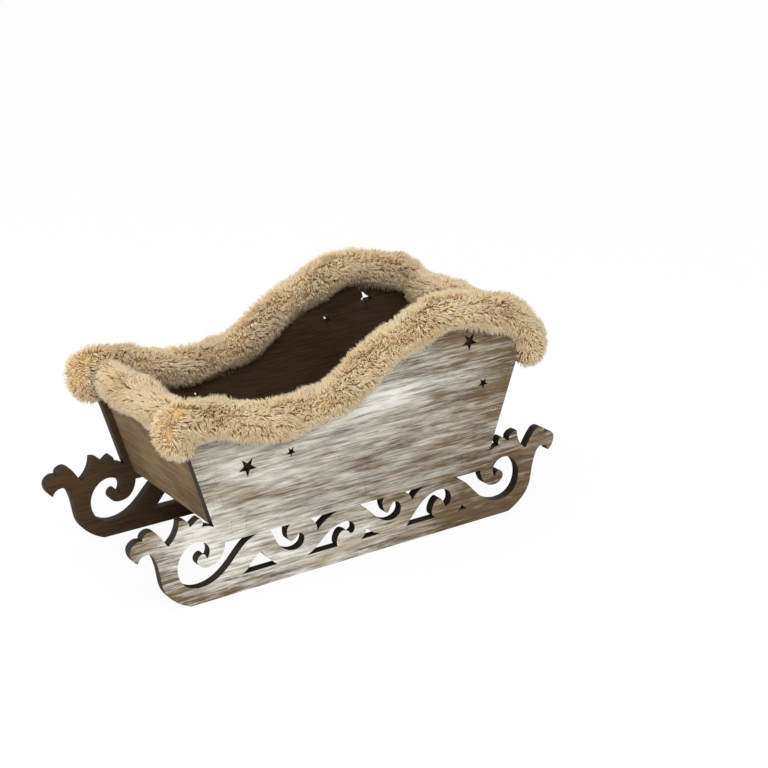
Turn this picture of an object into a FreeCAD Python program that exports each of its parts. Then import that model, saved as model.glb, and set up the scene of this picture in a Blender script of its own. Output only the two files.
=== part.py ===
"""A decorative plywood sleigh: two scroll-cut side sheets, three tabbed panels and a fur trim.

Millimetres.  +Z is up, -Y is the front, +X is the sled's left.  The origin is on the floor
under the middle of the sled.  Every sheet is cut flat and slotted together, so each piece is
an outline in its own plane, given the thickness of the sheet.
"""
import FreeCAD
import Part
import Sketcher
import math
import os

Vector = FreeCAD.Vector

SIZES = [
    ("sled_length", 283.4, "front scroll to rear scroll"),
    ("sled_width", 110, "outside to outside of the side sheets"),
    ("sheet_thick", 5.5, "every plywood sheet"),
    ("scroll_length", 49.4, "scroll tip to the foot of the body, at each end"),
    ("runner_height", 42.2, "floor to the foot of the body"),
    ("nose_height", 86.8, "floor to where the front edge meets the nose"),
    ("valley_height", 95, "floor to the lowest point of the top edge"),
    ("crest_height", 135.5, "floor to the highest point of the top edge"),
    ("horn_height", 95.7, "floor to where the rear edge meets the horn"),
    ("front_rake", 16.6, "lean of the front edge, degrees"),
    ("rear_rake", 19.1, "lean of the rear edge, degrees"),
    ("panel_inset", 3.9, "end panels behind the edges of the sides"),
    ("floor_height", 37, "floor to the underside of the bottom panel"),
    ("front_top", 101, "floor to the top of the front panel"),
    ("rear_top", 118, "floor to the top of the rear panel"),
    ("tab_length", 6, "each tab along its panel"),
    ("tab_pitch", 13, "tab to tab along an end panel"),
    ("tab_start", 15, "foot of an end panel to its first tab"),
    ("tab_count", 4, "tabs at each side of an end panel"),
    ("floor_tab_length", 9, "each tab of the bottom panel"),
    ("floor_tab_pitch", 77, "tab to tab along the bottom panel"),
    ("floor_tab_count", 3, "tabs at each side of the bottom panel"),
    ("slot_clearance", 0.1, "gap around a tab in its slot"),
    ("star_large", 11, "across the points"),
    ("star_middle", 7, "across the points"),
    ("star_small", 6, "across the points"),
    ("star_kerf", 0.15, "laser kerf round the star that is still in place"),
    ("fur_thick", 6, "pile and backing, outside the wood"),
    ("fur_drop", 7, "trim below the top edge of a side"),
    ("fur_hem", 15, "trim below the top of an end panel"),
    ("fur_clearance", 0.3, "between trim and wood"),
]

# The scrollwork is drawn for these three sizes and stretched to the ones above.
DRAWN_SCROLL = 49.4
DRAWN_BODY = 184.6
DRAWN_RUNNER = 42.2

# Top and bottom of the band that the windows of the runner lie in.
WINDOW_TOP = 31.7
WINDOW_FOOT = 10

# One end of the runner, as (behind the scroll tip, above the floor): runs of a smooth curve
# that meet at the corners of the carving.  It starts on the sole and ends at the body's foot.
SCROLL = [
    [(34, 0), (26.4, 4.2), (18.8, 13), (16.8, 22), (14.8, 31), (10.3, 37), (6.3, 36.1), (4.2, 33.1)],
    [(4.2, 33.1), (0.7, 37.3), (0.4, 42), (3.4, 45), (7.4, 45.1)],
    [(7.4, 45.1), (8.8, 48.3), (12.6, 49.3), (16.3, 46.8), (22, 38.3)],
    [(22, 38.3), (26.7, 43.4), (28.8, 51)],
    [(28.8, 51), (32, 50.5), (34.2, 48.9), (34.7, 46)],
    [(34.7, 46), (38, 47.9), (41.2, 49.3), (42.6, 47.5), (41.8, 44.3)],
    [(41.8, 44.3), (45.8, 44), (49.4, 42.2)],
]

# The large window beside each scroll, with the curl that hangs into it.
SCROLL_WINDOW = [
    [(76.5, WINDOW_TOP), (68.2, 28.1), (58.3, 18.2), (49.5, 11.6), (39.6, 9.5), (31.2, 12.6),
     (26.9, 21.5), (29, 30.5), (35.8, 36), (43.2, 35)],
    [(43.2, 35), (46.3, 30.4), (44.6, 25.1)],
    [(44.6, 25.1), (40.9, 28.3), (38.7, 25.4), (40.6, 21.6), (46, 20.3), (51.5, 22.3),
     (55, 27.8), (55.8, WINDOW_TOP)],
    [(55.8, WINDOW_TOP), (76.5, WINDOW_TOP)],
]

# The windows between the scrolls, from front to rear.
WINDOWS = [
    [[(64.1, WINDOW_FOOT), (70, 13.5), (74.4, 18.6), (77.8, 20.4)],
     [(77.8, 20.4), (81.2, 16.3), (87.8, WINDOW_FOOT)],
     [(87.8, WINDOW_FOOT), (64.1, WINDOW_FOOT)]],
    [[(83.9, WINDOW_TOP), (87, 24.8), (91.2, 18.9), (98.3, 15.7), (104.2, 17.8), (105.3, 22.3),
      (102, 24.9)],
     [(102, 24.9), (99.6, 22.4), (96.6, 21.6), (94.3, 25.6), (97.4, WINDOW_TOP)],
     [(97.4, WINDOW_TOP), (83.9, WINDOW_TOP)]],
    [[(108.9, WINDOW_TOP), (112.6, 28.5), (113.9, 23.3)],
     [(113.9, 23.3), (119, 27.8), (127.8, WINDOW_TOP)],
     [(127.8, WINDOW_TOP), (108.9, WINDOW_TOP)]],
    [[(106.7, WINDOW_FOOT), (115.5, 15.6), (122.4, 21.2), (130.5, 23.8), (137, 22.3), (138.7, 17.9),
      (135.9, 15.5)],
     [(135.9, 15.5), (133.6, 18), (130.8, 18.9), (127.4, 15.6), (127.4, WINDOW_FOOT)],
     [(127.4, WINDOW_FOOT), (106.7, WINDOW_FOOT)]],
    [[(142.8, WINDOW_FOOT), (145.6, 12.8), (146.8, 16.2)],
     [(146.8, 16.2), (151.2, 12.3), (156.8, WINDOW_FOOT)],
     [(156.8, WINDOW_FOOT), (142.8, WINDOW_FOOT)]],
    [[(141.4, WINDOW_TOP), (148.4, 26.5), (155, 20), (163.4, 16.6), (169.8, 19.6), (170, 25),
      (165.6, 27.5)],
     [(165.6, 27.5), (163.3, 25), (161.2, 21.7), (158.2, 25.6), (159.7, WINDOW_TOP)],
     [(159.7, WINDOW_TOP), (141.4, WINDOW_TOP)]],
    [[(172.7, WINDOW_TOP), (176.4, 29.1), (178.5, 25.2)],
     [(178.5, 25.2), (181.6, 28.8), (187.3, WINDOW_TOP)],
     [(187.3, WINDOW_TOP), (172.7, WINDOW_TOP)]],
    [[(174.1, WINDOW_FOOT), (180.4, 17.2), (188.2, 24.3), (196.8, 26.9), (204.5, 24.5), (206.2, 18.6),
      (202.4, 15.2)],
     [(202.4, 15.2), (200.6, 18.6), (197.7, 21.7), (193.5, 18), (195.8, WINDOW_FOOT)],
     [(195.8, WINDOW_FOOT), (174.1, WINDOW_FOOT)]],
    [[(211.2, WINDOW_FOOT), (213.4, 11.4), (214.4, 13.9)],
     [(214.4, 13.9), (216, 11.5), (219, WINDOW_FOOT)],
     [(219, WINDOW_FOOT), (211.2, WINDOW_FOOT)]],
]

# The top edge of a side: the nose from the top of the front edge and the horn from the top of
# the rear edge, as (back, up); between them (behind the scroll tip, share of the rise).
NOSE = [(0, 0), (-8.6, 6.2), (-11.3, 13.8), (-7.6, 20.6), (1, 23.2)]
NOSE_TO_VALLEY = [(54, 0.7), (76, 0.23), (98, 0)]
VALLEY_TO_CREST = [(120, 0.1), (142, 0.36), (164, 0.7), (186, 0.93), (208, 1), (228, 0.93)]
HORN = [(-6.4, 30.2), (6.2, 21.2), (15, 9.5), (15.6, 1.5), (9.4, -3), (0, 0)]

# Stars in each side, as (behind the scroll tip, above the floor, size).
STARS = [(70.8, 71.6, "star_large"), (98, 74, "star_small"), (217.8, 113.4, "star_large"),
         (228.3, 86.2, "star_middle")]
STAR_LEFT_IN = (188.5, 104.3, "star_middle")
STAR_WAIST = 0.4

doc = FreeCAD.newDocument("sled")
sizes = doc.addObject("Spreadsheet::Sheet", "sizes")
for row, (alias, value, meaning) in enumerate(SIZES, start=1):
    sizes.set(f"A{row}", meaning)
    sizes.set(f"B{row}", str(value))
    sizes.setAlias(f"B{row}", alias)
doc.recompute()


def size(alias):
    """One driving dimension, as a plain number."""
    return float(getattr(sizes, alias))


# ---- outlines, in the upright plane along the sled -------------------------------------------

def along(drawn):
    """Place along the sled of a distance behind the drawn scroll tip."""
    body = size("sled_length") - 2 * size("scroll_length")
    past_scroll = min(max(drawn - DRAWN_SCROLL, 0), DRAWN_BODY)
    in_scrolls = drawn - past_scroll
    return (in_scrolls * size("scroll_length") / DRAWN_SCROLL
            + past_scroll * body / DRAWN_BODY - size("sled_length") / 2)


def on_runner(run, mirrored=False):
    """A drawn run of the scrollwork at its place, or at its mirror place at the rear."""
    rise = size("runner_height") / DRAWN_RUNNER
    side = -1 if mirrored else 1
    return [(side * along(back), up * rise) for back, up in run]


def turned(runs):
    """The same runs from the last point to the first."""
    return [run[::-1] for run in runs[::-1]]


def edge(run):
    """A straight edge through two points, or a smooth curve through more."""
    points = [Vector(0, y, z) for y, z in run]
    if len(points) == 2:
        return Part.makeLine(*points)
    curve = Part.BSplineCurve()
    curve.interpolate(points)
    return curve.toShape()


def ring(runs):
    """A closed wire from runs that follow each other."""
    return Part.Wire([edge(run) for run in runs])


def polygon(points):
    """A closed wire of straight edges."""
    return Part.makePolygon([Vector(0, y, z) for y, z in points + points[:1]])


def star(back, up, across, grow=0):
    """A five-pointed star with one point down, grown by a small margin."""
    tip = across / 2 / math.cos(math.radians(18)) + grow
    corners = []
    for step in range(10):
        reach = tip if step % 2 == 0 else tip * STAR_WAIST
        turn = math.radians(36 * step - 90)
        corners.append((along(back) + reach * math.cos(turn), up + reach * math.sin(turn)))
    return polygon(corners)


# ---- the edges of the body -------------------------------------------------------------------

FRONT_FOOT = size("scroll_length") - size("sled_length") / 2
REAR_FOOT = -FRONT_FOOT
FRONT_LEAN = math.tan(math.radians(size("front_rake")))
REAR_LEAN = math.tan(math.radians(size("rear_rake")))


def front_edge(up):
    """Place of the front edge of a side at a height: it leans forward."""
    return FRONT_FOOT - FRONT_LEAN * (up - size("runner_height"))


def rear_edge(up):
    """Place of the rear edge of a side at a height: it leans back."""
    return REAR_FOOT + REAR_LEAN * (up - size("runner_height"))


def top_edge():
    """Points of the top edge of a side, from the nose to the horn."""
    nose = (front_edge(size("nose_height")), size("nose_height"))
    horn = (rear_edge(size("horn_height")), size("horn_height"))
    nose_top = nose[1] + NOSE[-1][1]
    valley = size("valley_height")
    points = [(nose[0] + back, nose[1] + up) for back, up in NOSE]
    points += [(along(back), valley + share * (nose_top - valley)) for back, share in NOSE_TO_VALLEY]
    points += [(along(back), valley + share * (size("crest_height") - valley))
               for back, share in VALLEY_TO_CREST]
    points += [(horn[0] + back, horn[1] + up) for back, up in HORN]
    return points


def beside_top_edge(distance, count=80):
    """Points at a distance outside the top edge, square to it."""
    curve = edge(top_edge()).Curve
    points = []
    for step in range(count + 1):
        at = curve.FirstParameter + (curve.LastParameter - curve.FirstParameter) * step / count
        place = curve.value(at)
        heading = curve.tangent(at)[0]
        points.append((place.y - heading.z * distance, place.z + heading.y * distance))
    return points


# Each end panel: the edge it lies behind, which way is inwards, its lean and its top.
ENDS = {"front": (front_edge, 1, "front_rake", "front_top"),
        "rear": (rear_edge, -1, "rear_rake", "rear_top")}


def on_panel(end, reach, depth):
    """A point of an end panel: reach up its slope from its foot, depth in from its outer face."""
    edge_at, inward, rake, _ = ENDS[end]
    lean = math.radians(size(rake))
    foot = edge_at(size("floor_height")) + inward * size("panel_inset")
    return (foot + inward * (depth * math.cos(lean) - reach * math.sin(lean)),
            size("floor_height") + reach * math.cos(lean) + depth * math.sin(lean))


def panel_length(end):
    """Length of an end panel up its slope."""
    _, _, rake, top = ENDS[end]
    return (size(top) - size("floor_height")) / math.cos(math.radians(size(rake)))


def panel_section(end, start, margin):
    """Section of an end panel from a reach up its slope to its top, grown by a margin."""
    inner = size("sheet_thick") + margin
    top = panel_length(end) + margin
    return [on_panel(end, start, -margin), on_panel(end, start, inner),
            on_panel(end, top, inner), on_panel(end, top, -margin)]


# ---- pieces ----------------------------------------------------------------------------------

def drawn(name, shape):
    """A flat outline, kept as a helper object."""
    helper = doc.addObject("Part::Feature", name)
    helper.Shape = shape
    return helper


def extruded(name, outline, left, width):
    """An outline carried to the left from a place across the sled; both are expressions."""
    solid = doc.addObject("Part::Extrusion", name)
    solid.Base = outline
    solid.DirMode = "Custom"
    solid.Dir = Vector(1, 0, 0)
    solid.Solid = True
    solid.setExpression("LengthFwd", width)
    solid.setExpression("Placement.Base.x", left)
    return solid


def tab_slots(end):
    """Slots for the tabs of an end panel."""
    gap = size("slot_clearance")
    slots = []
    for number in range(int(size("tab_count"))):
        low = size("tab_start") + number * size("tab_pitch") - gap
        high = low + size("tab_length") + 2 * gap
        slots.append(polygon([on_panel(end, low, -gap), on_panel(end, high, -gap),
                              on_panel(end, high, size("sheet_thick") + gap),
                              on_panel(end, low, size("sheet_thick") + gap)]))
    return slots


def floor_ends():
    """Front and rear ends of the bottom panel, which meets the inner feet of the end panels."""
    return [on_panel(end, 0, size("sheet_thick"))[0] for end in ENDS]


def floor_slots():
    """Slots for the tabs of the bottom panel."""
    front, rear = floor_ends()
    middle = (front + rear) / 2
    first = middle - size("floor_tab_pitch") * (size("floor_tab_count") - 1) / 2
    gap = size("slot_clearance")
    low = size("floor_height") - gap
    high = size("floor_height") + size("sheet_thick") + gap
    half = size("floor_tab_length") / 2 + gap
    slots = []
    for number in range(int(size("floor_tab_count"))):
        place = first + number * size("floor_tab_pitch")
        slots.append(polygon([(place - half, low), (place + half, low),
                              (place + half, high), (place - half, high)]))
    return slots


def side_face(star_kerf):
    """The whole side sheet: runner, scrolls and body in one, with its windows, stars and slots."""
    front = [on_runner(run) for run in SCROLL]
    rear = turned([on_runner(run, mirrored=True) for run in SCROLL])
    nose = (front_edge(size("nose_height")), size("nose_height"))
    horn = (rear_edge(size("horn_height")), size("horn_height"))
    body = [[front[-1][-1], nose], top_edge(), [horn, rear[0][0]]]
    sole = [[rear[-1][-1], front[0][0]]]
    holes = [[on_runner(run) for run in SCROLL_WINDOW]]
    holes += [turned([on_runner(run, mirrored=True) for run in SCROLL_WINDOW])]
    holes += [[on_runner(run) for run in window] for window in WINDOWS]
    wires = [ring(front + body + rear + sole)] + [ring(hole) for hole in holes]
    for back, up, name in STARS:
        wires.append(star(back, up, size(name)))
    back, up, name = STAR_LEFT_IN
    wires.append(star(back, up, size(name), star_kerf))
    wires += tab_slots("front") + tab_slots("rear")
    wires += floor_slots()
    return Part.makeFace(wires, "Part::FaceMakerBullseye")


def origin_plane(body, role):
    """One of a body's own origin planes."""
    return next(item for item in body.Origin.OriginFeatures if item.Role == role)


def rectangle(body, name, width, foot, height):
    """A sketch of a rectangle centred across the body; its three sizes are expressions."""
    sketch = body.newObject("Sketcher::SketchObject", name)
    sketch.AttachmentSupport = [(origin_plane(body, "XY_Plane"), "")]
    sketch.MapMode = "FlatFace"
    corners = [Vector(-10, 1, 0), Vector(10, 1, 0), Vector(10, 11, 0), Vector(-10, 11, 0)]
    for number in range(4):
        sketch.addGeometry(Part.LineSegment(corners[number], corners[(number + 1) % 4]), False)
    for number in range(4):
        following = (number + 1) % 4
        sketch.addConstraint(Sketcher.Constraint("Coincident", number, 2, following, 1))
    for number, direction in enumerate(("Vertical", "Horizontal", "Vertical"), start=1):
        sketch.addConstraint(Sketcher.Constraint(direction, number))
    sketch.addConstraint(Sketcher.Constraint("Symmetric", 0, 1, 0, 2, -2))
    for label, kind, value, ends in (("width", "DistanceX", 20, (0, 1, 0, 2)),
                                     ("foot", "DistanceY", 1, (-1, 1, 0, 1)),
                                     ("height", "DistanceY", 10, (1, 1, 1, 2))):
        index = sketch.addConstraint(Sketcher.Constraint(kind, *ends, value))
        sketch.renameConstraint(index, label)
    sketch.setExpression("Constraints.width", width)
    sketch.setExpression("Constraints.foot", foot)
    sketch.setExpression("Constraints.height", height)
    return sketch


def pad(body, sketch, name, reverse):
    """A sketch given the thickness of the sheet, above or below its plane."""
    feature = body.newObject("PartDesign::Pad", name)
    feature.Profile = sketch
    feature.Reversed = reverse
    feature.setExpression("Length", "sizes.sheet_thick")
    return feature


def tabbed_panel(name, height, tab_length, tab_foot, tab_pitch, tab_count, reverse=False):
    """A panel between the sides, with tabs that reach to their outer faces.

    It lies flat in its own frame: X across the sled, Y from its foot, Z through the sheet.
    """
    body = doc.addObject("PartDesign::Body", name)
    inside = "sizes.sled_width - 2 * sizes.sheet_thick"
    pad(body, rectangle(body, name + "_sheet", inside, "0", height), name + "_plate", reverse)
    tabs = pad(body, rectangle(body, name + "_tab", "sizes.sled_width", tab_foot, tab_length),
               name + "_tabs", reverse)
    doc.recompute()
    row = body.newObject("PartDesign::LinearPattern", name + "_row")
    row.Originals = [tabs]
    row.Direction = (tabs.Profile[0], ["V_Axis"])
    row.setExpression("Length", f"({tab_pitch}) * ({tab_count} - 1)")
    row.setExpression("Occurrences", tab_count)
    body.Tip = row
    return body


def side(name, hand, star_kerf):
    """A side sheet; hand is where its inner or right-hand face lies."""
    outline = drawn(name + "_outline", side_face(star_kerf))
    return extruded(name, outline, hand, "sizes.sheet_thick")


def left_star():
    """The star that was cut in the left side and is still in its hole."""
    back, up, name = STAR_LEFT_IN
    outline = drawn("left_star_outline", Part.Face(star(back, up, size(name))))
    return extruded("left_star", outline, "sizes.sled_width / 2 - sizes.sheet_thick",
                    "sizes.sheet_thick")


def end_panel(end):
    """A leaning end panel, from the underside of the bottom panel to its own top."""
    _, inward, rake, top = ENDS[end]
    body = tabbed_panel(f"{end}_panel",
                        f"(sizes.{top} - sizes.floor_height) / cos(sizes.{rake} * 1 deg)",
                        "sizes.tab_length", "sizes.tab_start", "sizes.tab_pitch", "sizes.tab_count",
                        reverse=inward > 0)
    foot = on_panel(end, 0, 0)
    turn = 90 + inward * size(rake)
    body.Placement = FreeCAD.Placement(Vector(0, *foot), FreeCAD.Rotation(Vector(1, 0, 0), turn))
    return body


def bottom_panel():
    """The level bottom panel, which is the floor of the load space."""
    front, rear = floor_ends()
    run = f"{rear - front}"
    middle = f"{(rear - front) / 2}"
    first = (f"{middle} - sizes.floor_tab_pitch * (sizes.floor_tab_count - 1) / 2"
             " - sizes.floor_tab_length / 2")
    body = tabbed_panel("bottom_panel", run, "sizes.floor_tab_length", first,
                        "sizes.floor_tab_pitch", "sizes.floor_tab_count")
    body.Placement = FreeCAD.Placement(Vector(0, front, size("floor_height")), FreeCAD.Rotation())
    return body


def side_fur(name, hand):
    """Trim that folds over the top edge of a side and hangs down both its faces."""
    fur = size("fur_thick")
    gap = size("fur_clearance")
    outer = beside_top_edge(fur)
    edge_points = top_edge()
    hem = [(back, up - size("fur_drop")) for back, up in edge_points[len(NOSE):-len(HORN)]]
    nose = edge_points[0]
    horn = edge_points[-1]
    hem = [(nose[0] + 2, nose[1] - 2), (nose[0] + 7, nose[1] + 8)] + hem
    hem += [(horn[0] + 2, horn[1] + 14), (horn[0] + 6, horn[1])]
    band = ring([outer, [outer[-1], hem[-1]], hem[::-1], [hem[0], outer[0]]])
    roof = beside_top_edge(gap)[1:-1]
    low = size("runner_height")
    slot = ring([roof, [roof[-1], (horn[0] + gap, horn[1] - gap)],
                 [(horn[0] + gap, horn[1] - gap), (rear_edge(low) + gap, low)],
                 [(rear_edge(low) + gap, low), (front_edge(low) - gap, low)],
                 [(front_edge(low) - gap, low), (nose[0] - gap, nose[1] - gap)],
                 [(nose[0] - gap, nose[1] - gap), roof[0]]])
    left = f"{hand} - sizes.fur_thick"
    roll = extruded(name + "_roll", drawn(name + "_band", Part.Face(band)), left,
                    "sizes.sheet_thick + 2 * sizes.fur_thick")
    tools = [extruded(name + "_slot", drawn(name + "_slot_outline", Part.Face(slot)),
                      f"{hand} - sizes.fur_clearance",
                      "sizes.sheet_thick + 2 * sizes.fur_clearance")]
    for end in ENDS:
        outline = drawn(f"{name}_{end}_outline", Part.Face(polygon(panel_section(end, 0, gap))))
        tools.append(extruded(f"{name}_{end}", outline, "-sizes.sled_width / 2 + sizes.sheet_thick",
                              "sizes.sled_width - 2 * sizes.sheet_thick"))
    cutter = doc.addObject("Part::MultiFuse", name + "_cutter")
    cutter.Shapes = tools
    trim = doc.addObject("Part::Cut", name)
    trim.Base = roll
    trim.Tool = cutter
    return trim


def end_fur(end):
    """Trim over the top of an end panel, between the trims of the sides."""
    hem = panel_length(end) - size("fur_hem")
    outer = Part.Face(polygon(panel_section(end, hem, size("fur_thick"))))
    slot = Part.Face(polygon(panel_section(end, 0, size("fur_clearance"))))
    outline = drawn(f"{end}_fur_outline", outer.cut(slot).Faces[0])
    width = "sizes.sled_width - 2 * (sizes.sheet_thick + sizes.fur_thick + sizes.fur_clearance)"
    return extruded(f"{end}_fur", outline, f"-({width}) / 2", width)


LEFT_HAND = "sizes.sled_width / 2 - sizes.sheet_thick"
RIGHT_HAND = "-sizes.sled_width / 2"

pieces = [
    side("left_side", LEFT_HAND, size("star_kerf")),
    side("right_side", RIGHT_HAND, 0),
    left_star(),
    end_panel("front"),
    end_panel("rear"),
    bottom_panel(),
    side_fur("left_fur", LEFT_HAND),
    side_fur("right_fur", RIGHT_HAND),
    end_fur("front"),
    end_fur("rear"),
]
doc.recompute()

for item in doc.Objects:
    if "Invalid" in item.State or "Error" in item.State:
        raise RuntimeError(f"{item.Label} did not build: {item.State}")
for piece in pieces:
    if piece.Shape.isNull() or not piece.Shape.isValid() or len(piece.Shape.Solids) != 1:
        raise RuntimeError(f"{piece.Label} is not one valid solid")

os.makedirs("parts", exist_ok=True)
for piece in pieces:
    piece.Shape.exportStep(f"parts/{piece.Label}.step")
    box = piece.Shape.BoundBox
    print(f"{piece.Label}: {piece.Shape.Volume / 1000:.2f} cm3, "
          f"{box.XLength:.1f} x {box.YLength:.1f} x {box.ZLength:.1f} mm")
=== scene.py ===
"""The finish of a decorative plywood sleigh: dry-brushed sheets, charred cut edges, plush trim."""
import math

import bpy
import numpy as np
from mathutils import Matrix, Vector

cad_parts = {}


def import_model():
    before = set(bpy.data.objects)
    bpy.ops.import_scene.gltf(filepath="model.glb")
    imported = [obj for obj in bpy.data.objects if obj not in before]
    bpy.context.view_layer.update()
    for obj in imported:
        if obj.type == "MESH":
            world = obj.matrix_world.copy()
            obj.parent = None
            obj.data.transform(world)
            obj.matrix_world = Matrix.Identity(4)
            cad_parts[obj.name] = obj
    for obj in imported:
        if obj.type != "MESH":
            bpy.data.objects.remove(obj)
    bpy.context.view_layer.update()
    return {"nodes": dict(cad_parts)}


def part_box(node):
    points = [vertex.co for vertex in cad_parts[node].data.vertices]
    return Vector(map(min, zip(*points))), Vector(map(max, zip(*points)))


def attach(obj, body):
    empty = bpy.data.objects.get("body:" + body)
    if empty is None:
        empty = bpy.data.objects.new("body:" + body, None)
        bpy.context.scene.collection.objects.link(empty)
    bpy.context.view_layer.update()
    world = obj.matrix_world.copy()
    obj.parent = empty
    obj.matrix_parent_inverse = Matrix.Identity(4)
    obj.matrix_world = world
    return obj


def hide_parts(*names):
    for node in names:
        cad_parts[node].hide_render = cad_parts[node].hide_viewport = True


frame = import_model()
RNG = np.random.default_rng(11)


# ---- sizes, in metres ------------------------------------------------------------------------

SIDE_LOW, SIDE_HIGH = np.array(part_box("left_side"))
SHEET = SIDE_HIGH[0] - SIDE_LOW[0]
OUTER = SIDE_HIGH[0]
INNER = SIDE_LOW[0]
# The trim: strand length, the roll's depth beyond the sheet, the width of a tuft, how far the
# strands reach round below the roll's middle (radians), and how much they hang.
PILE = 0.0062
BACKING = 0.0042
TUFT = 0.0042
FLANK = math.pi * 0.9 / 2 + 0.35
DROOP = 0.22


# ---- meshes ----------------------------------------------------------------------------------

def mesh_object(name, points, faces, smooth=True):
    """A mesh from arrays of points and faces of one size."""
    mesh = bpy.data.meshes.new(name)
    mesh.vertices.add(len(points))
    mesh.vertices.foreach_set("co", np.asarray(points, dtype=np.float32).ravel())
    corners = faces.shape[1]
    mesh.loops.add(faces.size)
    mesh.loops.foreach_set("vertex_index", faces.astype(np.int32).ravel())
    mesh.polygons.add(len(faces))
    mesh.polygons.foreach_set("loop_start", np.arange(0, faces.size, corners, dtype=np.int32))
    mesh.polygons.foreach_set("loop_total", np.full(len(faces), corners, dtype=np.int32))
    mesh.update(calc_edges=True)
    mesh.validate()
    if smooth:
        mesh.polygons.foreach_set("use_smooth", np.ones(len(faces), dtype=bool))
    piece = bpy.data.objects.new(name, mesh)
    bpy.context.scene.collection.objects.link(piece)
    return piece


def add_attribute(piece, name, values):
    """A number for each point of a piece, for its material to read."""
    layer = piece.data.attributes.new(name, "FLOAT", "POINT")
    layer.data.foreach_set("value", np.asarray(values, dtype=np.float32))


# ---- materials -------------------------------------------------------------------------------

def colour(text):
    """An sRGB hex value as linear red, green, blue and 1."""
    parts = [int(text[k:k + 2], 16) / 255 for k in (1, 3, 5)]
    return [p / 12.92 if p <= 0.04045 else ((p + 0.055) / 1.055) ** 2.4 for p in parts] + [1.0]


def node(tree, kind, links=None, out=0, stops=None, **settings):
    """Adds a node with its settings and links, and gives back one of its outputs.

    links maps an input to a value or to another node's output.  stops fill a colour ramp
    with (place, sRGB hex) pairs.
    """
    item = tree.nodes.new(kind)
    for key, value in settings.items():
        setattr(item, key, value)
    if stops:
        elements = item.color_ramp.elements
        while len(elements) < len(stops):
            elements.new(0.5)
        for element, (place, tone) in zip(elements, stops):
            element.position = place
            element.color = colour(tone)
    for key, value in (links or {}).items():
        if isinstance(value, bpy.types.NodeSocket):
            tree.links.new(value, item.inputs[key])
        else:
            item.inputs[key].default_value = value
    return item.outputs[out]


def weighted(tree, start, *parts):
    """A start value plus patterns, each times its own weight."""
    total = start
    for pattern, weight in parts:
        total = node(tree, "ShaderNodeMath", {0: pattern, 1: weight, 2: total},
                     operation="MULTIPLY_ADD")
    return total


def fibres(tree, place, shares, scale, detail, roughness=0.5, warp=0.0, tip=0.0):
    """Clouds 1/scale metres across, drawn out along the axis whose share is small.

    tip turns the long way of the clouds about X, as a brush held slightly askew does.
    """
    drawn = node(tree, "ShaderNodeMapping",
                 {"Vector": place, "Scale": shares, "Rotation": (tip, 0, 0)})
    return node(tree, "ShaderNodeTexNoise",
                {"Vector": drawn, "Scale": scale, "Detail": detail, "Roughness": roughness,
                 "Distortion": warp}, out="Fac")


def material(name):
    """A new material and its parts: (material, tree, shader, object coordinates)."""
    made = bpy.data.materials.new(name)
    made.use_nodes = True
    tree = made.node_tree
    shader = tree.nodes["Principled BSDF"]
    place = node(tree, "ShaderNodeTexCoord", out="Object")
    return made, tree, shader, place


def coat(tree, shader, paint, roughness, shine, relief=None, depth=0.0):
    """Gives a shader its colour, how it takes light, and relief to a depth in metres."""
    tree.links.new(paint, shader.inputs["Base Color"])
    shader.inputs["Roughness"].default_value = roughness
    shader.inputs["Specular IOR Level"].default_value = shine
    if relief:
        raised = node(tree, "ShaderNodeBump",
                      {"Height": relief, "Distance": depth, "Strength": 1.0})
        tree.links.new(raised, shader.inputs["Normal"])


# Brush streaks are about 2 mm wide and 25 mm long, and wood grain 1 mm by 20 mm.  Real grain
# is finer, but would not show.
BRUSH = 520.0
BRISTLE = 1300.0
GRAIN = 950.0
CHAR_GRIT = 1200.0
PLY_LAYERS = 180.0
ALONG_SLED = (1, 0.05, 1)
ACROSS_SLED = (0.05, 1, 1)


def stain(tree, place, dark, light, grain):
    """Brown wood stain: long fine grain over slow clouds.  Gives its colour and its grain."""
    fine = fibres(tree, place, grain, GRAIN, 4.0, 0.6)
    slow = fibres(tree, place, (1, 0.35, 1), 34.0, 2.0)
    mixed = weighted(tree, 0.0, (fine, 0.62), (slow, 0.38))
    return node(tree, "ShaderNodeValToRGB", {"Fac": mixed},
                stops=((0.34, dark), (0.68, light))), fine


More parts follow.
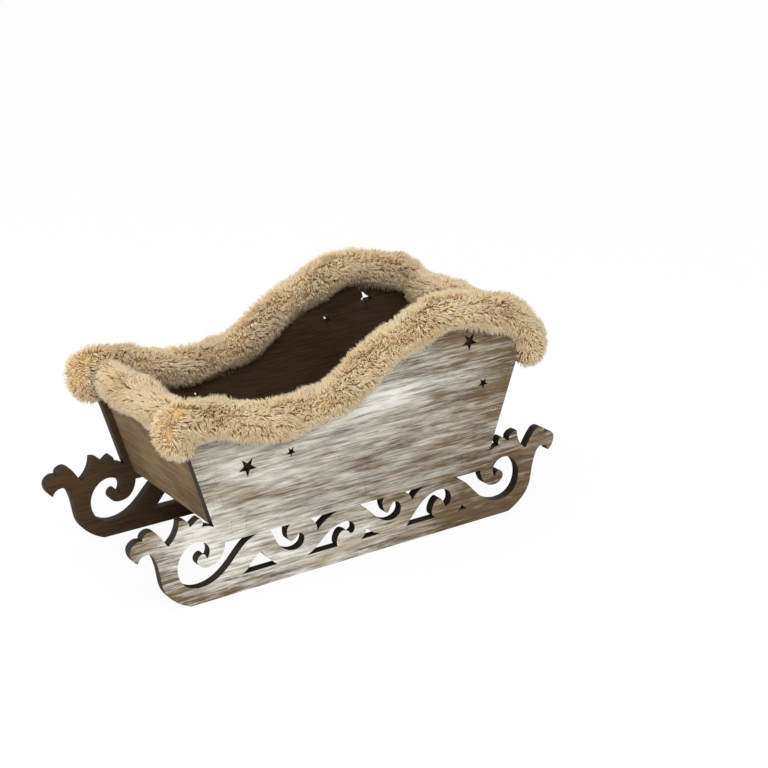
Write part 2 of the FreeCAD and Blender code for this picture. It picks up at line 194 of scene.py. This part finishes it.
def washed_plywood():
    """Plywood stained brown and dry-brushed with warm white: matt, with streaks that skip.

    Less white covers the wood low down, up under the trim and at both ends,
    and more of the ochre of the wood shows there.
    """
    made, tree, shader, place = material("dry_brushed_whitewash_on_stained_plywood")
    under, fine = stain(tree, place, "#3E2C1C", "#7D684A", ALONG_SLED)
    streak = fibres(tree, place, (1, 0.075, 1), BRUSH, 6.0, 0.72, warp=0.2, tip=0.10)
    hairs = fibres(tree, place, (1, 0.05, 1), BRISTLE, 3.0, 0.6, tip=0.16)
    slow = fibres(tree, place, (1, 0.45, 1.1), 26.0, 3.0, 0.55)
    back = node(tree, "ShaderNodeSeparateXYZ", {"Vector": place}, out="Y")
    up = node(tree, "ShaderNodeSeparateXYZ", {"Vector": place}, out="Z")
    low, high, tail, nose = (
        node(tree, "ShaderNodeMapRange", {"Value": where, "From Min": none, "From Max": full})
        for where, none, full in ((up, 0.034, 0.004), (up, 0.098, 0.125),
                                  (back, 0.045, 0.1), (back, -0.095, -0.13)))
    bare = weighted(tree, 0.0, (low, 0.10), (high, 0.05), (tail, 0.06), (nose, 0.09))
    load = weighted(tree, 0.0, (streak, 0.62), (slow, 0.34), (hairs, 0.22), (bare, -1.0))
    cover = node(tree, "ShaderNodeMapRange", {"Value": load, "From Min": 0.46, "From Max": 0.64})
    white = node(tree, "ShaderNodeValToRGB", {"Fac": slow},
                 stops=((0.35, "#B4B1A6"), (0.62, "#E2E0D8")))
    painted = node(tree, "ShaderNodeMix", {0: cover, 6: under, 7: white}, out=2,
                   data_type="RGBA")
    clouds = fibres(tree, place, (1, 0.25, 1), 60.0, 2.0)
    ochre = node(tree, "ShaderNodeMapRange",
                 {"Value": clouds, "From Min": 0.58, "From Max": 0.75})
    amount = node(tree, "ShaderNodeMath", {0: ochre, 1: weighted(tree, 0.18, (bare, 4.0))},
                  operation="MULTIPLY")
    with_ochre = node(tree, "ShaderNodeMix", {0: amount, 6: painted, 7: colour("#8A7048")}, out=2,
                data_type="RGBA")
    coat(tree, shader, with_ochre, 0.78, 0.3, weighted(tree, fine, (cover, 0.6)), 0.00025)
    return made


def stained_plywood(name, dark, light, grain=ALONG_SLED):
    """Plywood with a thin brown stain: matt, with the grain standing out."""
    made, tree, shader, place = material(name)
    under, fine = stain(tree, place, dark, light, grain)
    coat(tree, shader, under, 0.82, 0.25, fine, 0.0002)
    return made


def charred_edge():
    """The laser's cut edge: matt char, nearly black, with faint layers of ply."""
    made, tree, shader, place = material("laser_charred_plywood_edge")
    layers = node(tree, "ShaderNodeTexWave",
                  {"Vector": place, "Scale": PLY_LAYERS, "Distortion": 1.5}, out="Fac",
                  wave_type="BANDS", bands_direction="X")
    burnt = node(tree, "ShaderNodeValToRGB", {"Fac": layers},
                 stops=((0.0, "#120E0A"), (1.0, "#2A221A")))
    grit = node(tree, "ShaderNodeTexNoise",
                {"Vector": place, "Scale": CHAR_GRIT, "Detail": 3.0}, out="Fac")
    coat(tree, shader, burnt, 0.7, 0.3, grit, 0.00015)
    return made


def plush():
    """Acrylic plush: camel at the root and pale at the tips, in soft tufts."""
    made, tree, shader, place = material("camel_acrylic_plush")
    along = node(tree, "ShaderNodeAttribute", out="Fac", attribute_name="along")
    tone = node(tree, "ShaderNodeAttribute", out="Fac", attribute_name="tone")
    strand = node(tree, "ShaderNodeValToRGB", {"Fac": along},
                  stops=((0.0, "#CFAA74"), (0.5, "#F0D6A4"), (1.0, "#FBEBC8")))
    clouds = node(tree, "ShaderNodeTexNoise",
                  {"Vector": place, "Scale": 110.0, "Detail": 2.0}, out="Fac")
    tufts = node(tree, "ShaderNodeMapRange",
                 {"Value": clouds, "From Min": 0.35, "From Max": 0.7})
    dark_share = node(tree, "ShaderNodeMath", {0: tufts, 1: 0.35}, operation="MULTIPLY")
    darker = node(tree, "ShaderNodeMix", {0: dark_share, 6: strand, 7: colour("#D6B07A")},
                  out=2, data_type="RGBA")
    pale_share = node(tree, "ShaderNodeMath", {0: tone, 1: 0.35}, operation="MULTIPLY")
    tinted = node(tree, "ShaderNodeMix", {0: pale_share, 6: darker, 7: colour("#F8EACB")},
                  out=2, data_type="RGBA")
    coat(tree, shader, tinted, 0.85, 0.15)
    shader.inputs["Sheen Weight"].default_value = 0.25
    shader.inputs["Sheen Roughness"].default_value = 0.5
    return made


WASHED = washed_plywood()
BROWN_OUT = stained_plywood("brown_stained_plywood_outside", "#4A3622", "#937B58", ACROSS_SLED)
# Inner faces, and both faces of the bottom panel, take a darker copy of the brown stain: the stain
# is real, its extra darkness is painted shade.
BROWN_SHADED_IN = stained_plywood("brown_stain_inside_with_painted_shade", "#2C1D10", "#54402A")
CHAR = charred_edge()
PLUSH = plush()


# ---- sheets ----------------------------------------------------------------------------------

def finish_sheet(name, outside, inside, outward):
    """Gives each flat of a CAD sheet its own finish by which way it faces; cut edges are charred.

    The ends of tabs lie flush in the sides, so they were painted along with them.
    """
    piece = frame["nodes"][name]
    mesh = piece.data
    mesh.materials.clear()
    for made in (outside, inside, CHAR, WASHED):
        mesh.materials.append(made)
    normals = np.empty(len(mesh.polygons) * 3, dtype=np.float32)
    mesh.polygons.foreach_get("normal", normals)
    facing = normals.reshape(-1, 3) @ np.array(outward, dtype=np.float32)
    index = np.where(facing > 0.9, 0, np.where(facing < -0.9, 1, 2)).astype(np.int32)
    if name.endswith("panel"):
        index[np.abs(normals.reshape(-1, 3)[:, 0]) > 0.9] = 3
    mesh.polygons.foreach_set("material_index", index)


def panel_outward(name):
    """The outward direction of an end panel: the mean of its faces that look ahead or back."""
    mesh = frame["nodes"][name].data
    count = len(mesh.polygons)
    normals = np.empty(count * 3, dtype=np.float32)
    areas = np.empty(count, dtype=np.float32)
    mesh.polygons.foreach_get("normal", normals)
    mesh.polygons.foreach_get("area", areas)
    normals = normals.reshape(-1, 3)
    ahead = -1 if name.startswith("front") else 1
    chosen = (normals[:, 1] * ahead > 0.5)
    total = (normals[chosen] * areas[chosen, None]).sum(axis=0)
    return total / np.linalg.norm(total)


# Inner faces below get the darker copy of the stain, whose extra darkness is painted shade.
finish_sheet("left_side", WASHED, BROWN_SHADED_IN, (1, 0, 0))
finish_sheet("right_side", WASHED, BROWN_SHADED_IN, (-1, 0, 0))
finish_sheet("left_star", WASHED, BROWN_SHADED_IN, (1, 0, 0))
finish_sheet("front_panel", BROWN_OUT, BROWN_SHADED_IN, panel_outward("front_panel"))
finish_sheet("rear_panel", BROWN_OUT, BROWN_SHADED_IN, panel_outward("rear_panel"))
finish_sheet("bottom_panel", BROWN_SHADED_IN, BROWN_SHADED_IN, (0, 0, 1))


# ---- plush trim ------------------------------------------------------------------------------

def cad_points(name):
    """The points of a CAD piece's mesh, one a row."""
    mesh = frame["nodes"][name].data
    points = np.empty(len(mesh.vertices) * 3, dtype=np.float32)
    mesh.vertices.foreach_get("co", points)
    return points.reshape(-1, 3)


# Where the trim ends under the nose, and where it ends under the horn, as (y, z).
NOSE_END = (-0.1056, 0.0868)
HORN_TURN = (0.1202, 0.0927)


def side_rim(bins=36, count=420):
    """The top edge of a side sheet from nose to horn, as (y, z) points evenly spaced.

    In each direction from a hub inside the body it is the sheet's corner that reaches farthest;
    the corners are joined by straight runs and then averaged with their neighbours.
    """
    points = cad_points("left_side")
    flat = points[np.abs(points[:, 0] - OUTER) < 1e-5][:, 1:]
    offset = flat - np.array([0.012, 0.064])
    angle = np.arctan2(offset[:, 1], offset[:, 0])
    reach = np.hypot(offset[:, 0], offset[:, 1])
    turns = np.linspace(math.radians(168.6), math.radians(15.2), bins + 1)
    corners = []
    for start, stop in zip(turns[:-1], turns[1:]):
        inside = (angle <= start) & (angle > stop)
        if inside.any() and reach[inside].max() > 0.03:
            corners.append(flat[np.argmax(np.where(inside, reach, 0))])
    corners = [NOSE_END, *corners, HORN_TURN]
    return even(smoothed(even(np.array(corners), count), 9), count)


def even(path, count):
    """The same path with evenly spaced points."""
    steps = np.concatenate([[0], np.cumsum(np.linalg.norm(np.diff(path, axis=0), axis=1))])
    places = np.linspace(0, steps[-1], count)
    return np.stack([np.interp(places, steps, path[:, k]) for k in range(path.shape[1])], axis=1)


def smoothed(path, width):
    """A path averaged over a few neighbours, with its two ends held."""
    padded = np.concatenate([np.repeat(path[:1], width, 0), path, np.repeat(path[-1:], width, 0)])
    weights = np.hanning(2 * width + 1)
    weights /= weights.sum()
    return np.stack([np.convolve(padded[:, k], weights, mode="valid")
                     for k in range(path.shape[1])], axis=1)


def roll_frame(path, across, outward):
    """Arrays that place a roll: its centre line, its two section axes and its length so far."""
    steps = np.concatenate([[0], np.cumsum(np.linalg.norm(np.diff(path, axis=0), axis=1))])
    return path, np.broadcast_to(across, path.shape), outward, steps


def on_roll(frame_arrays, place, turn, half_across, half_out, bulge):
    """Points and outward directions on a roll, at places along it (0 to 1) and turns round it.

    The section is an ellipse.  Its size follows a quarter circle over the last stretch at each
    end, so that the roll closes in a dome, and it swells and shrinks a little along the way.
    """
    path, across, outward, steps = frame_arrays
    far = place * steps[-1]
    centre = np.stack([np.interp(far, steps, path[:, k]) for k in range(3)], axis=-1)
    side = np.stack([np.interp(far, steps, across[:, k]) for k in range(3)], axis=-1)
    out = np.stack([np.interp(far, steps, outward[:, k]) for k in range(3)], axis=-1)
    dome = half_out * 1.1
    from_end = np.minimum(far, steps[-1] - far)
    shrink = np.sqrt(np.clip(1 - (1 - np.clip(from_end / dome, 0, 1)) ** 2, 0.0, 1))
    swell = 1 + bulge * (np.sin(far * 210 + 3 * np.cos(turn)) * 0.6
                         + np.sin(far * 470 + 2 * turn) * 0.4)
    a = (half_across * shrink * swell)[..., None]
    b = (half_out * shrink * swell)[..., None]
    cos = np.cos(turn)[..., None]
    sin = np.sin(turn)[..., None]
    point = centre + side * a * cos + out * b * sin
    lean = (1 - shrink)[..., None] * np.where(far < steps[-1] / 2, 1.0, -1.0)[..., None]
    facing = side * cos / half_across + out * sin / half_out
    facing /= np.linalg.norm(facing, axis=-1, keepdims=True)
    travel = np.gradient(path, axis=0)
    travel /= np.linalg.norm(travel, axis=1, keepdims=True)
    heading = np.stack([np.interp(far, steps, travel[:, k]) for k in range(3)], axis=-1)
    facing = facing * shrink[..., None] - heading * lean
    facing /= np.linalg.norm(facing, axis=-1, keepdims=True) + 1e-9
    return point, facing, heading


def roll_body(name, arrays, half_across, half_out, bulge=0.06, rows=160, around=40):
    """The soft core of a trim: the roll's surface on a grid of places and turns."""
    place, turn = np.meshgrid(np.linspace(0, 1, rows), np.arange(around) * 2 * math.pi / around,
                              indexing="ij")
    points, _, _ = on_roll(arrays, place, turn, half_across, half_out, bulge)
    grid = np.arange(rows * around).reshape(rows, around)
    faces = np.stack([grid[:-1], np.roll(grid, -1, 1)[:-1], np.roll(grid, -1, 1)[1:], grid[1:]],
                     axis=-1).reshape(-1, 4)
    piece = mesh_object(name, points.reshape(-1, 3), faces)
    add_attribute(piece, "along", np.full(rows * around, 0.12))
    add_attribute(piece, "tone", np.zeros(rows * around))
    return piece


def pile(name, arrays, half_across, half_out, count, span=(0, 1)):
    """Strands of plush, each a three-sided spike in two lengths that bends as it rises.

    Roots are spread at random over the roll, but not where it lies in the wood.  Strands in one
    tuft lean to its middle, tufts lean their own way, and all of them hang down a little.
    """
    place = RNG.uniform(span[0], span[1], count)
    turn = RNG.uniform(-FLANK, math.pi + FLANK, count)
    root, facing, heading = on_roll(arrays, place, turn, half_across, half_out, 0.06)
    size = arrays[3][-1]
    cell_u = np.floor(place * size / TUFT + 0.35 * np.sin(turn * 5))
    cell_v = np.floor(turn * half_out / TUFT)
    key = (cell_u * 73 + cell_v * 179 + 11)
    spread = np.stack([np.sin(key * k + k) for k in (12.9898, 78.233, 37.719)], axis=1)
    middle_place = np.clip((cell_u + 0.5) * TUFT / size, 0, 1)
    middle_turn = (cell_v + 0.5) * TUFT / half_out
    centre, _, _ = on_roll(arrays, middle_place, middle_turn, half_across, half_out, 0.06)
    grow = PILE * (0.72 + 0.2 * spread[:, 0] + 0.28 * RNG.random(count))
    swirl = 0.45 * np.sin(place * size * 95 + 1.7 * np.cos(turn * 2))[:, None]
    lean = facing + heading * swirl * 0.55 + 0.32 * spread
    lean += 0.16 * RNG.normal(size=(count, 3))
    lean[:, 2] -= DROOP
    lean /= np.linalg.norm(lean, axis=1, keepdims=True)
    tip = root + lean * grow[:, None] + 0.38 * (centre - root)
    knee = root + (facing * 0.6 + lean * 0.4) * grow[:, None] * 0.5 + 0.10 * (centre - root)
    base = root - facing * 0.0006
    side = np.cross(facing, heading + 0.3 * RNG.normal(size=(count, 3)))
    side /= np.linalg.norm(side, axis=1, keepdims=True) + 1e-9
    third = np.cross(facing, side)
    thick = 0.00028 + 0.00012 * RNG.random(count)
    rings = []
    for spot, share in ((base, 1.0), (knee, 0.85)):
        for step in range(3):
            turned = 2 * math.pi * step / 3
            rings.append(spot + (side * math.cos(turned) + third * math.sin(turned))
                         * (thick * share)[:, None])
    points = np.stack(rings + [tip], axis=1)
    first = np.arange(count)[:, None] * 7
    pattern = np.array([[0, 1, 4], [0, 4, 3], [1, 2, 5], [1, 5, 4], [2, 0, 3], [2, 3, 5],
                        [3, 4, 6], [4, 5, 6], [5, 3, 6], [0, 2, 1]])
    faces = (first[:, :, None] + pattern[None]).reshape(-1, 3)
    piece = mesh_object(name, points.reshape(-1, 3), faces)
    rise = np.array([0.1, 0.1, 0.1, 0.5, 0.5, 0.5, 1.0])
    add_attribute(piece, "along", np.tile(rise, count))
    tone = np.clip(0.5 + 0.35 * spread[:, 1] + 0.2 * RNG.normal(size=count), 0, 1)
    add_attribute(piece, "tone", np.repeat(tone, 7))
    return piece


def give(piece, made, slot_name, *replaced):
    """Finishes a new piece: its material, body and the CAD pieces it stands for; slot_name is not
    used.
    """
    piece.data.materials.append(made)
    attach(piece, "root")
    if replaced:
        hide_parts(*replaced)


HALF_ACROSS = SHEET / 2 + BACKING
HALF_OUT = 0.0076
SINK = 0.0024
SIDE_STRANDS = 15500
END_STRANDS = 11000


def side_trim(hand, middle):
    """Plush folded over the top edge of one side."""
    rim = side_rim()
    path = np.column_stack([np.full(len(rim), middle), rim])
    travel = np.gradient(path, axis=0)
    travel /= np.linalg.norm(travel, axis=1, keepdims=True)
    outward = np.stack([np.zeros(len(path)), -travel[:, 2], travel[:, 1]], axis=1)
    path = path - outward * SINK
    arrays = roll_frame(path, np.array([1.0, 0, 0]), outward)
    give(roll_body(f"{hand}_plush_roll", arrays, HALF_ACROSS, HALF_OUT), PLUSH, "plush",
         f"{hand}_fur")
    for number, span in enumerate(((0.0, 0.5), (0.5, 1.0))):
        tufts = pile(f"{hand}_plush_pile_{number + 1}", arrays, HALF_ACROSS, HALF_OUT,
                     SIDE_STRANDS, span)
        give(tufts, PLUSH, "plush")


def end_trim(end):
    """Plush folded over the top edge of an end panel, between the two sides."""
    points = cad_points(f"{end}_panel")
    normal = panel_outward(f"{end}_panel")
    up = np.cross(normal, np.array([1.0, 0, 0]))
    up *= np.sign(up[2])
    height = points @ up
    top = points[height > height.max() - 1e-4].mean(axis=0)
    reach = INNER - BACKING * 0.6
    count = 60
    path = np.column_stack([np.linspace(-reach, reach, count), np.full(count, top[1]),
                            np.full(count, top[2])]) - up * SINK
    arrays = roll_frame(path, normal, np.broadcast_to(up, path.shape))
    give(roll_body(f"{end}_plush_roll", arrays, HALF_ACROSS, HALF_OUT, rows=80), PLUSH, "plush",
         f"{end}_fur")
    tufts = pile(f"{end}_plush_pile", arrays, HALF_ACROSS, HALF_OUT, END_STRANDS)
    give(tufts, PLUSH, "plush")


side_trim("left", (OUTER + INNER) / 2)
side_trim("right", -(OUTER + INNER) / 2)
end_trim("front")
end_trim("rear")


# ---- paint dot -------------------------------------------------------------------------------

def paint_dot():
    """A drop of the white paint on the left side, a flat dome 2.4 mm across: a grid of rings."""
    centre = np.array([OUTER + 0.00005, 0.0925, 0.1155])
    rings = 6
    around = 24
    turns = np.arange(around) * 2 * math.pi / around
    share, turn = np.meshgrid(np.linspace(0, 1, rings), turns, indexing="ij")
    reach = 0.0012 * share
    rise = 0.0003 * np.sqrt(1 - share ** 2)
    points = np.stack([rise, reach * np.cos(turn), reach * np.sin(turn)], axis=-1) + centre
    grid = np.arange(rings * around).reshape(rings, around)
    faces = np.stack([grid[:-1], grid[1:], np.roll(grid, -1, 1)[1:], np.roll(grid, -1, 1)[:-1]],
                     axis=-1).reshape(-1, 4)
    made, tree, shader, place = material("dried_drop_of_white_paint")
    shader.inputs["Base Color"].default_value = colour("#E4E2DA")
    shader.inputs["Roughness"].default_value = 0.55
    give(mesh_object("paint_drop", points.reshape(-1, 3), faces), made, "washed_plywood")


paint_dot()


# ---- floor, light and camera -----------------------------------------------------------------

def white_to_the_eye(tree, surface):
    """Mixes a surface with plain white for rays from the camera, from mirrors and through glass."""
    seen = 0.0
    for ray in ("Is Camera Ray", "Is Glossy Ray", "Is Transmission Ray"):
        kind = node(tree, "ShaderNodeLightPath", out=ray)
        seen = node(tree, "ShaderNodeMath", {0: seen, 1: kind}, operation="MAXIMUM")
    white = node(tree, "ShaderNodeEmission", {"Color": (1, 1, 1, 1), "Strength": 1.0})
    return node(tree, "ShaderNodeMixShader", {0: seen, 1: surface, 2: white})


# How much of the floor's own shading the camera sees.
SHADOW_SHARE = 0.07


def floor():
    """A plain pale floor that keeps only a trace of the sleigh's shadow."""
    size = 3.0
    points = np.array([[-size, -size, 0], [size, -size, 0], [size, size, 0], [-size, size, 0]])
    piece = mesh_object("floor", points, np.array([[0, 1, 2, 3]]), smooth=False)
    made, tree, shader, _ = material("pale_paper_floor")
    shader.inputs["Base Color"].default_value = colour("#F4F4F2")
    shader.inputs["Roughness"].default_value = 0.9
    white = node(tree, "ShaderNodeEmission", {"Color": (1, 1, 1, 1), "Strength": 1.0})
    camera_ray = node(tree, "ShaderNodeLightPath", out="Is Camera Ray")
    seen = node(tree, "ShaderNodeMath", {0: camera_ray, 1: 1 - SHADOW_SHARE},
                operation="MULTIPLY")
    mixed = node(tree, "ShaderNodeMixShader", {0: seen, 1: shader.outputs[0], 2: white})
    tree.links.new(mixed, tree.nodes["Material Output"].inputs["Surface"])
    piece.data.materials.append(made)


def world():
    """Soft white light from all round; white to the camera."""
    made = bpy.data.worlds.new("studio")
    bpy.context.scene.world = made
    made.use_nodes = True
    tree = made.node_tree
    soft = tree.nodes["Background"]
    soft.inputs["Color"].default_value = (1, 1, 1, 1)
    soft.inputs["Strength"].default_value = 0.74
    tree.links.new(white_to_the_eye(tree, soft.outputs[0]),
                   tree.nodes["World Output"].inputs["Surface"])


def lamp(name, place, power, size):
    """A square soft lamp aimed at the middle of the sleigh."""
    light = bpy.data.lights.new(name, "AREA")
    light.energy = power
    light.size = size
    item = bpy.data.objects.new(name, light)
    bpy.context.scene.collection.objects.link(item)
    item.location = place
    aim = np.array([0, 0, 0.06]) - np.array(place)
    item.rotation_euler = turn_towards(aim)


def turn_towards(direction):
    """Turn that points an object's -Z along a direction, with its +Y upwards."""
    return Vector(direction).to_track_quat("-Z", "Y").to_euler()


def camera():
    """A long lens from the front left, a little above."""
    data = bpy.data.cameras.new("camera")
    data.sensor_width = 36
    data.lens = 78.36
    item = bpy.data.objects.new("camera", data)
    bpy.context.scene.collection.objects.link(item)
    azimuth = math.radians(55.207)
    elevation = math.radians(20.025)
    back = np.array([math.sin(azimuth) * math.cos(elevation),
                     -math.cos(azimuth) * math.cos(elevation), math.sin(elevation)])
    item.location = (0.7663, -0.4772, 0.4158)
    item.rotation_euler = turn_towards(-back)
    bpy.context.scene.camera = item


floor()
world()
lamp("key", (0.9, -0.5, 1.1), 11.0, 0.9)
lamp("fill", (-0.5, -1.1, 0.7), 4.0, 1.0)
camera()
bpy.context.scene.view_settings.view_transform = "Standard"
